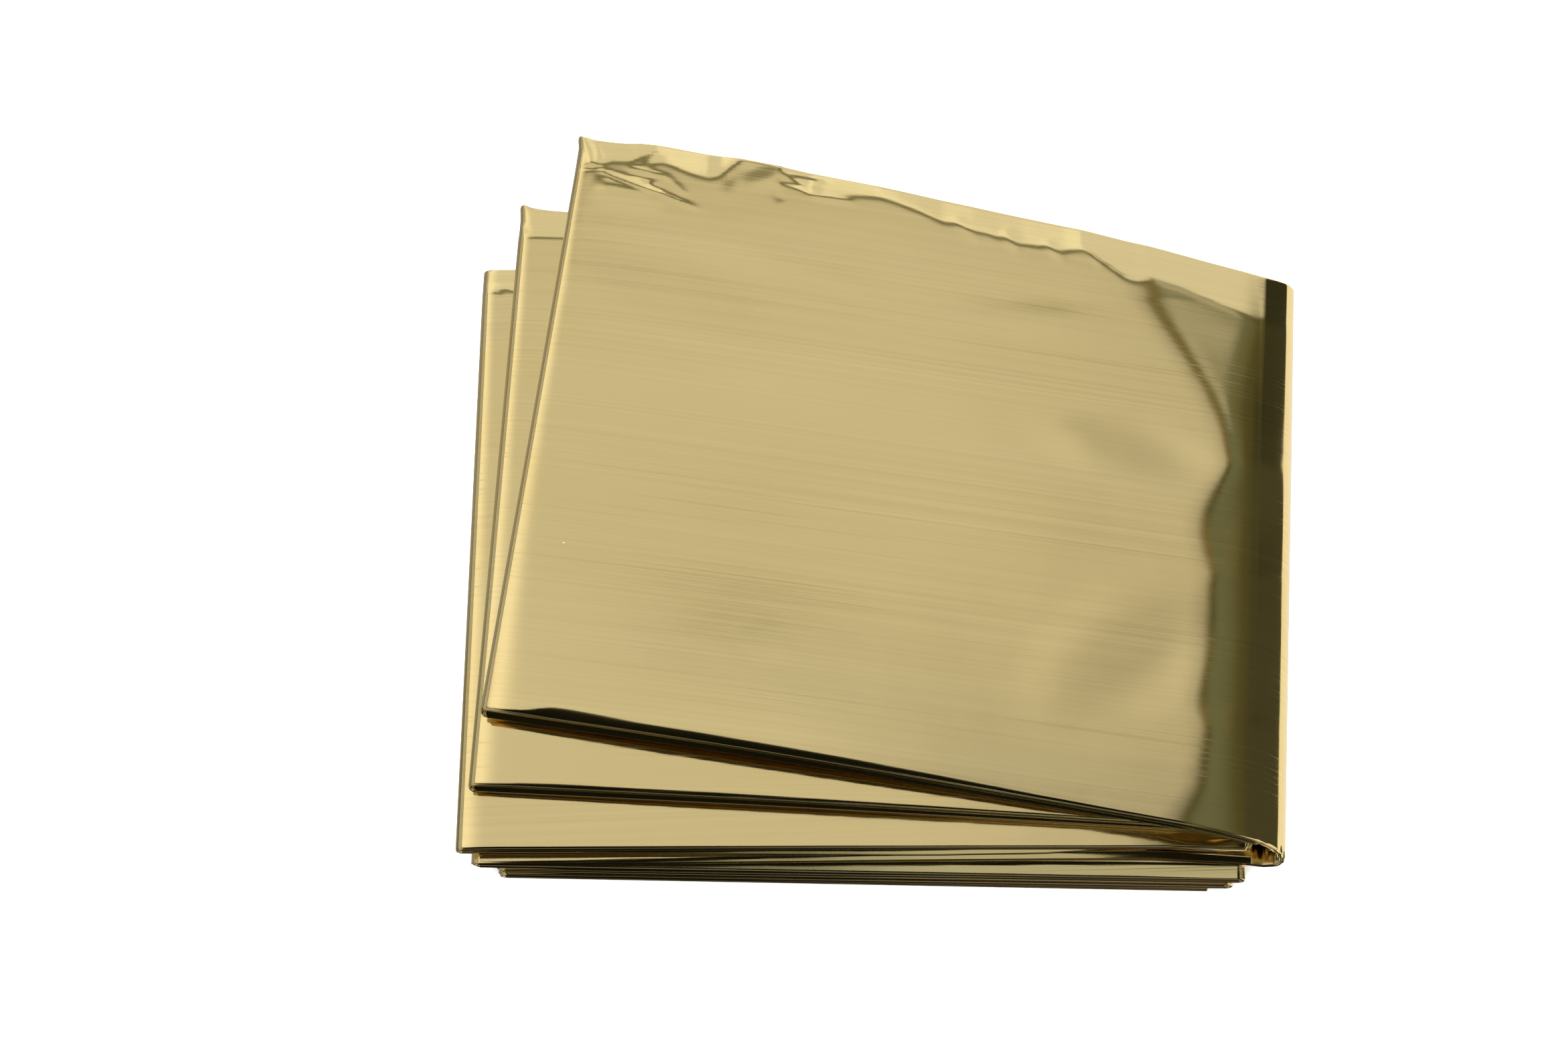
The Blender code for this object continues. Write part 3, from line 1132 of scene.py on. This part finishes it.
@dataclass(frozen=True)
class NodeSheet:
    """A node tree with short calls for the nodes that the finishes use."""

    tree: bpy.types.NodeTree

    def put(self, target: Socket, value: object) -> None:
        """Links a socket to the target, or sets a plain value on it.

        Args:
            target: The input.
            value: A socket, a number or a list of numbers.
        """
        if isinstance(value, bpy.types.NodeSocket):
            self.tree.links.new(value, target)
        else:
            target.default_value = value

    def add(
        self, kind: str, inputs: dict[int | str, object], output: int | str = 0, **settings: str
    ) -> Socket:
        """Adds a node and fills its inputs.

        Args:
            kind: The node's type, without the word ShaderNode.
            inputs: What goes into its inputs, by number or name.
            output: Number or name of the output that is wanted.
            settings: The node's own settings.

        Returns:
            That output.
        """
        node = self.tree.nodes.new(f"ShaderNode{kind}")
        for name, value in settings.items():
            setattr(node, name, value)
        for key, value in inputs.items():
            self.put(node.inputs[key], value)
        return node.outputs[output]

    def math(self, operation: str, *values: object) -> Socket:
        """A Math node of these sockets or numbers."""
        return self.add("Math", dict(enumerate(values)), operation=operation)

    def step(self, value: object, low: float, high: float) -> Socket:
        """A smooth step from 0 at low to 1 at high; low may be the higher of the two."""
        inputs = {"Value": value, "From Min": low, "From Max": high, "To Min": 0.0, "To Max": 1.0}
        return self.add("MapRange", inputs, "Result", interpolation_type="SMOOTHSTEP")

    def noise(self, vector: object, scale: float, detail: float, roughness: float) -> Socket:
        """A noise texture's factor, from 0 to 1."""
        inputs = {"Vector": vector, "Scale": scale, "Detail": detail, "Roughness": roughness}
        return self.add("TexNoise", inputs, "Fac")

    def shaded(self, colour: object, factor: object) -> Socket:
        """A colour multiplied by a number."""
        return self.add("VectorMath", {0: colour, "Scale": factor}, operation="SCALE")

    def blend(self, factor: object, first: object, second: object) -> Socket:
        """Two colours in a Mix node's inputs 6 and 7, with the first where the factor is 0."""
        return self.add("Mix", {0: factor, 6: first, 7: second}, 2, data_type="RGBA")


@dataclass(frozen=True)
class Grain:
    """A noise on the open sheet that is stretched along the film's drawn lines.

    along and across say how often it changes in a metre, and limits between which of its factors
    its mask rises from 0 to 1.
    """

    along: float
    across: float
    detail: float = 1.0
    roughness: float = 0.5
    place: Triple = (0.0, 0.0, 0.0)
    limits: tuple[float, float] = (0.35, 0.7)

    def factor(self, tree: NodeSheet, sheet: Socket) -> Socket:
        """The noise, for these coordinates along the drawn lines."""
        inputs = {"Vector": sheet, "Scale": (self.along, self.across, 1.0), "Location": self.place}
        return tree.noise(tree.add("Mapping", inputs, "Vector"), 1.0, self.detail, self.roughness)

    def mask(self, tree: NodeSheet, sheet: Socket) -> Socket:
        """A smooth step of the noise, for these coordinates along the drawn lines."""
        return tree.step(self.factor(tree, sheet), *self.limits)


@dataclass(frozen=True)
class DrawLines:
    """One family of the fine lines that the film keeps from being drawn and rolled.

    The lines run along the band. pitch is their spacing, length how far one goes on, and height
    how far they stand up, all in millimetres.
    """

    pitch: float
    length: float
    height: float


@dataclass(frozen=True)
class MetallisedFilm:
    """Gold metallised polyester film: gold outside, silver inside, with lines, dents and lint.

    Each dent is a size and a depth, and lint has its spacing, all in millimetres. A speck's
    radius is a share of that spacing, and rarity the share of the places that have no speck.
    """

    gold: Colour = (0.91, 0.715, 0.325, 1.0)
    pale_gold: Colour = (0.93, 0.745, 0.355, 1.0)
    clouds: Grain = Grain(9.0, 40.0, 3.0)
    streaks: Grain = Grain(5.0, 1900.0, 3.0)
    streak_groups: Grain = Grain(4.0, 90.0, place=(0.3, 0.1, 0.0))
    streak_shade: float = 0.36
    silver: Colour = (0.86, 0.86, 0.84, 1.0)
    lint: Colour = (0.85, 0.8, 0.65, 1.0)
    lint_spacing: float = 9.0
    lint_rarity: float = 0.8
    lint_radius: float = 0.009
    roughness: float = 0.10
    scratches: Grain = Grain(14.0, 2600.0, limits=(0.52, 0.72))
    scratch_groups: Grain = Grain(3.0, 70.0, place=(0.7, 0.4, 0.0), limits=(0.42, 0.62))
    scratch_roughness: float = 0.13
    lint_roughness: float = 0.6
    skew: float = 0.035
    lines: tuple[DrawLines, ...] = (
        DrawLines(0.4, 70.0, 0.0022),
        DrawLines(1.1, 150.0, 0.007),
        DrawLines(6.0, 300.0, 0.03),
    )
    line_roughness: float = 0.55
    line_place: tuple[float, float] = (3.7, 1.3)
    dents: Line = ((0.2, 0.002), (4.0, 0.006), (14.0, 0.06), (36.0, 0.22))
    dent_detail: float = 1.5
    dent_roughness: float = 0.4

    def material(self) -> bpy.types.Material:
        """Builds the material.

        Returns:
            The material, with its lines and dents as one height that a Bump node reads.
        """
        made = bpy.data.materials.new("gold_film")
        made.use_nodes = True
        tree = NodeSheet(made.node_tree)
        space = tree.add("TexCoord", {}, "Object")
        # The pleats don't quite follow the drawn lines, so the lines are turned by the skew.
        turned = {"Vector": tree.add("TexCoord", {}, "UV"), "Rotation": (0.0, 0.0, self.skew)}
        sheet = tree.add("Mapping", turned, "Vector")
        outside = tree.blend(self.clouds.mask(tree, sheet), self.gold, self.pale_gold)
        streaks = tree.math("SUBTRACT", self.streaks.factor(tree, sheet), 0.5)
        streaks = tree.math("MULTIPLY", streaks, self.streak_groups.mask(tree, sheet))
        shade = tree.math("MULTIPLY_ADD", streaks, self.streak_shade, 1.0)
        backfacing = tree.add("NewGeometry", {}, "Backfacing")
        film = tree.shaded(tree.blend(backfacing, outside, self.silver), shade)
        specks = self.lint_mask(tree, space)
        scratches = tree.math(
            "MULTIPLY", self.scratches.mask(tree, sheet), self.scratch_groups.mask(tree, sheet)
        )
        rough = tree.math("MULTIPLY_ADD", scratches, self.scratch_roughness, self.roughness)
        height = self.height(tree, sheet, space)
        shader = made.node_tree.nodes["Principled BSDF"]
        for name, value in (
            ("Base Color", tree.blend(specks, film, self.lint)),
            ("Metallic", tree.math("SUBTRACT", 1.0, specks)),
            ("Roughness", tree.math("MULTIPLY_ADD", specks, self.lint_roughness, rough)),
            ("Normal", tree.add("Bump", {"Height": height, "Distance": 1.0}, "Normal")),
        ):
            tree.put(shader.inputs[name], value)
        return made

    def height(self, tree: NodeSheet, sheet: Socket, space: Socket) -> Socket:
        """The height of the lines and dents, in metres.

        Args:
            tree: The node tree.
            sheet: Coordinates along the drawn lines.
            space: Coordinates in the frame.

        Returns:
            The sum of a noise for each family of lines and each size of dent.
        """
        total: object = 0.0
        for number, family in enumerate(self.lines):
            scale = (1 / (family.length * MM), 1 / (family.pitch * MM))
            place = (self.line_place[0] * number, self.line_place[1] * number, 0.0)
            lines = Grain(*scale, roughness=self.line_roughness, place=place).factor(tree, sheet)
            total = tree.math("MULTIPLY_ADD", lines, family.height * MM, total)
        for size, depth in self.dents:
            lumps = tree.noise(space, 1 / (size * MM), self.dent_detail, self.dent_roughness)
            total = tree.math("MULTIPLY_ADD", lumps, depth * MM, total)
        return total

    def lint_mask(self, tree: NodeSheet, space: Socket) -> Socket:
        """A few small specks of lint, each in a cell of its own.

        Args:
            tree: The node tree.
            space: Coordinates in the frame.

        Returns:
            1 on a speck and 0 elsewhere.
        """
        inputs = {"Vector": space, "Scale": 1 / (self.lint_spacing * MM), "Randomness": 1.0}
        cells = tree.add("TexVoronoi", inputs).node.outputs
        parts = tree.add("SeparateColor", {"Color": cells["Color"]})
        chosen = tree.math("GREATER_THAN", parts, self.lint_rarity)
        near = tree.math("LESS_THAN", cells["Distance"], self.lint_radius)
        return tree.math("MULTIPLY", chosen, near)


class Axis(Enum):
    """What a limit in the studio is measured along: a part of the direction, or two's ratio."""

    RIGHT = "x"
    BACK = "y"
    UP = "z"
    SIDE = "x over z"
    DEPTH = "y over z"
    BEHIND = "x over y"
    BEFORE = "x over minus y"


RIGHT, BACK, UP, SIDE, DEPTH, BEHIND, BEFORE = Axis

# An axis, where the mask starts to rise from 0 along it, and where it is 1.
Limit = tuple[Axis, float, float]


@dataclass(frozen=True)
class Patch:
    """A patch of the studio with soft edges: where all of its limits hold, it has its colour."""

    colour: Triple
    limits: tuple[Limit, ...]


# What the film mirrors past the panel overhead, each painted over those before it.
PAST_THE_PANEL = (
    # The dim background, and a bright patch low at the front right.
    Patch((0.17, 0.175, 0.12), ((DEPTH, 0.3, 0.6),)),
    Patch((1.0, 0.98, 0.95), ((RIGHT, 0.5, 0.65), (BACK, 0.03, -0.08), (UP, 0.05, 0.2))),
    # The left side, its wall, and the seam in that.
    Patch((0.16, 0.16, 0.14), ((SIDE, -0.5, -0.56), (DEPTH, -1.5, 0.5))),
    Patch((0.50, 0.50, 0.50), ((SIDE, -0.66, -0.8), (SIDE, -7.0, -4.0), (DEPTH, -1.5, 0.5))),
    Patch((0.36, 0.36, 0.35), ((SIDE, -1.5, -1.7), (SIDE, -2.3, -2.0), (DEPTH, -1.5, 0.5))),
    # A dim window in front, and a light at the front left.
    Patch(
        (0.15, 0.15, 0.15),
        ((DEPTH, -1.1, -1.3), (DEPTH, -3.0, -2.3), (BEFORE, 2.0, 1.0), (BEFORE, -2.0, -1.0)),
    ),
    Patch((0.5, 0.5, 0.5), ((RIGHT, -0.35, -0.5), (BACK, -0.2, -0.4), (UP, 0.05, 0.2))),
    # The dark right wall: its brown part, its far edge, a sheen, a glow and its foot.
    Patch((0.031, 0.033, 0.021), ((SIDE, 0.25, 0.33), (DEPTH, -0.5, -0.2))),
    Patch((0.080, 0.077, 0.038), ((SIDE, 0.25, 0.33), (SIDE, 1.35, 0.95), (DEPTH, -0.5, -0.2))),
    Patch((0.17, 0.145, 0.06), ((SIDE, 0.25, 0.33), (SIDE, 0.9, 0.5), (DEPTH, 0.3, 0.4))),
    Patch((0.14, 0.16, 0.125), ((SIDE, 0.32, 0.44), (SIDE, 0.95, 0.45), (DEPTH, -0.3, 0.1))),
    Patch((0.42, 0.43, 0.42), ((SIDE, 0.36, 0.44), (SIDE, 0.6, 0.47), (DEPTH, 0.5, 0.62))),
    Patch((0.06, 0.06, 0.042), ((SIDE, 0.9, 1.2), (BACK, 0.5, 0.2), (BACK, -0.12, 0.0))),
    # A pale strip in front of the panel.
    Patch(
        (0.48, 0.51, 0.50),
        ((SIDE, -0.04, 0.05), (SIDE, 0.4, 0.3), (DEPTH, -0.46, -0.53), (DEPTH, -0.8, -0.71)),
    ),
)

# The bright background: its colour, what is painted over that, and where it is seen.
FAR_LIGHT = (0.71, 0.72, 0.74, 1.0)
FAR_LIGHT_PARTS = (
    Patch((0.94, 0.96, 0.98), ((SIDE, 0.0, 0.065),)),
    Patch((0.73, 0.74, 0.77), ((SIDE, 0.12, 0.26),)),
)
FAR_LIGHT_LIMITS = ((DEPTH, 0.66, 0.75), (BEHIND, 1.25, 0.6), (BEHIND, -1.1, -0.75))
# One of these has to hold as well: at the right, the background starts at a greater depth.
FAR_LIGHT_GAP = ((SIDE, 0.4, 0.3), (DEPTH, 0.78, 0.92))

# The panel overhead: where it is seen, and how much darker it is towards its sides.
PANEL_LIMITS = ((SIDE, -0.52, -0.42), (SIDE, 0.35, 0.23), (DEPTH, 0.0, 0.1), (DEPTH, 0.61, 0.5))
PANEL_SHADES = (
    (0.26, ((SIDE, 0.04, 0.26),)),
    (0.3, ((SIDE, 0.06, 0.22), (DEPTH, 0.34, 0.22))),
    (0.05, ((DEPTH, 0.42, 0.54),)),
)

# What is painted over the panel: the light at its left, and what shows from below the floor.
OVER_THE_PANEL = (
    Patch((1.02, 1.0, 0.97), ((SIDE, -0.17, -0.42), (SIDE, -0.62, -0.52), (DEPTH, -0.1, 0.15))),
    Patch((0.06, 0.04, 0.03), ((UP, 0.03, -0.03), (RIGHT, 0.0, 0.14), (BACK, -0.1, -0.2))),
    Patch((0.95, 0.92, 0.86), ((UP, 0.03, -0.03), (RIGHT, 0.2, 0.45))),
    Patch((0.30, 0.30, 0.32), ((UP, 0.03, -0.03), (RIGHT, -0.2, -0.45))),
)


@dataclass(frozen=True)
class Studio:
    """A pale floor, a soft studio round the pack, and the camera."""

    floor_size: float = 6.0
    floor_colour: Colour = (0.9, 0.9, 0.9, 1.0)
    floor_roughness: float = 0.9
    focal_length: float = 70.0
    elevation: float = 70.0
    distance: float = 0.524
    target: Triple = (-0.01805, -0.0033, 0.009)
    panel: float = 0.64
    dark: Colour = (0.006, 0.006, 0.004, 1.0)
    backdrop: Colour = (0.95, 0.95, 0.95, 1.0)
    least_divisor: float = 0.02
    wash_height: float = 0.9
    wash_size: float = 1.4
    wash_power: float = 34.0

    def floor(self) -> None:
        """Lays the pale floor under the pack."""
        half = self.floor_size / 2
        mesh = bpy.data.meshes.new("pale_floor")
        corners = [(-half, -half, 0), (half, -half, 0), (half, half, 0), (-half, half, 0)]
        mesh.from_pydata(corners, [], [(0, 1, 2, 3)])
        ground = bpy.data.objects.new("pale_floor", mesh)
        material = bpy.data.materials.new("pale_floor")
        material.use_nodes = True
        shader = material.node_tree.nodes["Principled BSDF"]
        shader.inputs["Base Color"].default_value = self.floor_colour
        shader.inputs["Roughness"].default_value = self.floor_roughness
        shader.inputs["Specular IOR Level"].default_value = 0.0
        mesh.materials.append(material)
        ground.visible_glossy = False
        bpy.context.scene.collection.objects.link(ground)

    def light(self) -> None:
        """Hangs a wide soft light that whitens the floor."""
        lamp = bpy.data.lights.new("floor_wash", "AREA")
        lamp.shape = "DISK"
        lamp.size = self.wash_size
        lamp.energy = self.wash_power
        wash = bpy.data.objects.new("floor_wash", lamp)
        wash.location = (0.0, 0.0, self.wash_height)
        wash.visible_glossy = False
        bpy.context.scene.collection.objects.link(wash)

    def axes(self, tree: NodeSheet) -> dict[Axis, Socket]:
        """The direction from the pack, measured along each axis; divisors stay above a least one.

        Args:
            tree: The world's node tree.

        Returns:
            A number for each axis.
        """
        x, y, z = tree.add("SeparateXYZ", {0: tree.add("TexCoord", {}, "Generated")}).node.outputs
        rise, behind, before = (
            tree.math("MAXIMUM", part, self.least_divisor)
            for part in (z, y, tree.math("MULTIPLY", y, -1.0))
        )
        ratios = ((SIDE, x, rise), (DEPTH, y, rise), (BEHIND, x, behind), (BEFORE, x, before))
        measured = {axis: tree.math("DIVIDE", over, under) for axis, over, under in ratios}
        return {RIGHT: x, BACK: y, UP: z, **measured}

    def surroundings(self) -> None:
        """The studio as the film sees it, and a pale backdrop behind the floor for the camera.

        A broad panel hangs overhead and a little to the back. Past a dark gap at its far side
        is the bright background, the left side is bright too, and the right and the front are
        dark. A side and a depth are a direction's X and Y over its Z, so the panel is a box.
        """
        world = bpy.data.worlds.new("studio")
        bpy.context.scene.world = world
        world.use_nodes = True
        tree = NodeSheet(world.node_tree)
        axes = self.axes(tree)

        def mask(limits: Sequence[Limit]) -> Socket:
            """The product of the limits' smooth steps."""
            steps = (tree.step(axes[axis], low, high) for axis, low, high in limits)
            return reduce(lambda first, second: tree.math("MULTIPLY", first, second), steps)

        def painted(colour: object, patches: Sequence[Patch]) -> Socket:
            """Paints patches over a colour.

            Args:
                colour: The colour.
                patches: The patches, each painted over those before it.

            Returns:
                The colour in each direction.
            """
            for patch in patches:
                colour = tree.blend(mask(patch.limits), colour, (*patch.colour, 1.0))
            return colour

        shade: object = 0.0
        for share, limits in PANEL_SHADES:
            shade = tree.math("MULTIPLY_ADD", mask(limits), share, shade)
        panel = tree.shaded((self.panel,) * 3, tree.math("SUBTRACT", 1.0, shade))
        near = tree.math("MAXIMUM", *(mask((limit,)) for limit in FAR_LIGHT_GAP))
        far = tree.math("MULTIPLY", mask(FAR_LIGHT_LIMITS), near)
        colour = painted(self.dark, PAST_THE_PANEL)
        colour = tree.blend(far, colour, painted(FAR_LIGHT, FAR_LIGHT_PARTS))
        colour = tree.blend(mask(PANEL_LIMITS), colour, panel)
        colour = painted(colour, OVER_THE_PANEL)
        seen = tree.add("LightPath", {}, "Is Camera Ray")
        backdrop = world.node_tree.nodes["Background"]
        tree.put(backdrop.inputs["Color"], tree.blend(seen, colour, self.backdrop))

    def camera(self) -> None:
        """Sets the camera where the photograph was taken from."""
        lens = bpy.data.cameras.new("camera")
        lens.lens = self.focal_length
        lens.sensor_width = 36.0
        lens.clip_start = 0.01
        camera = bpy.data.objects.new("camera", lens)
        up = math.radians(self.elevation)
        target = Vector(self.target)
        camera.location = target + self.distance * Vector((0.0, -math.cos(up), math.sin(up)))
        camera.rotation_euler = (math.pi / 2 - up, 0.0, 0.0)
        bpy.context.scene.collection.objects.link(camera)
        bpy.context.scene.camera = camera

    def build(self) -> None:
        """Builds the camera, the floor, the light and what the film mirrors."""
        self.camera()
        self.floor()
        self.light()
        self.surroundings()
        bpy.context.scene.view_settings.view_transform = "Standard"


def main() -> None:
    """Builds the studio and the sheet, and dresses it."""
    logging.basicConfig(level=logging.INFO, format="%(name)s: %(message)s")
    Studio().build()
    LOG.info("studio ready")
    sheet = Film().build()
    sheet.data.materials.append(MetallisedFilm().material())
    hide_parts("foil_blanket")
    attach(sheet, "root")
    LOG.info("%s: %d faces", sheet.name, len(sheet.data.polygons))


if __name__ == "__main__":
    main()
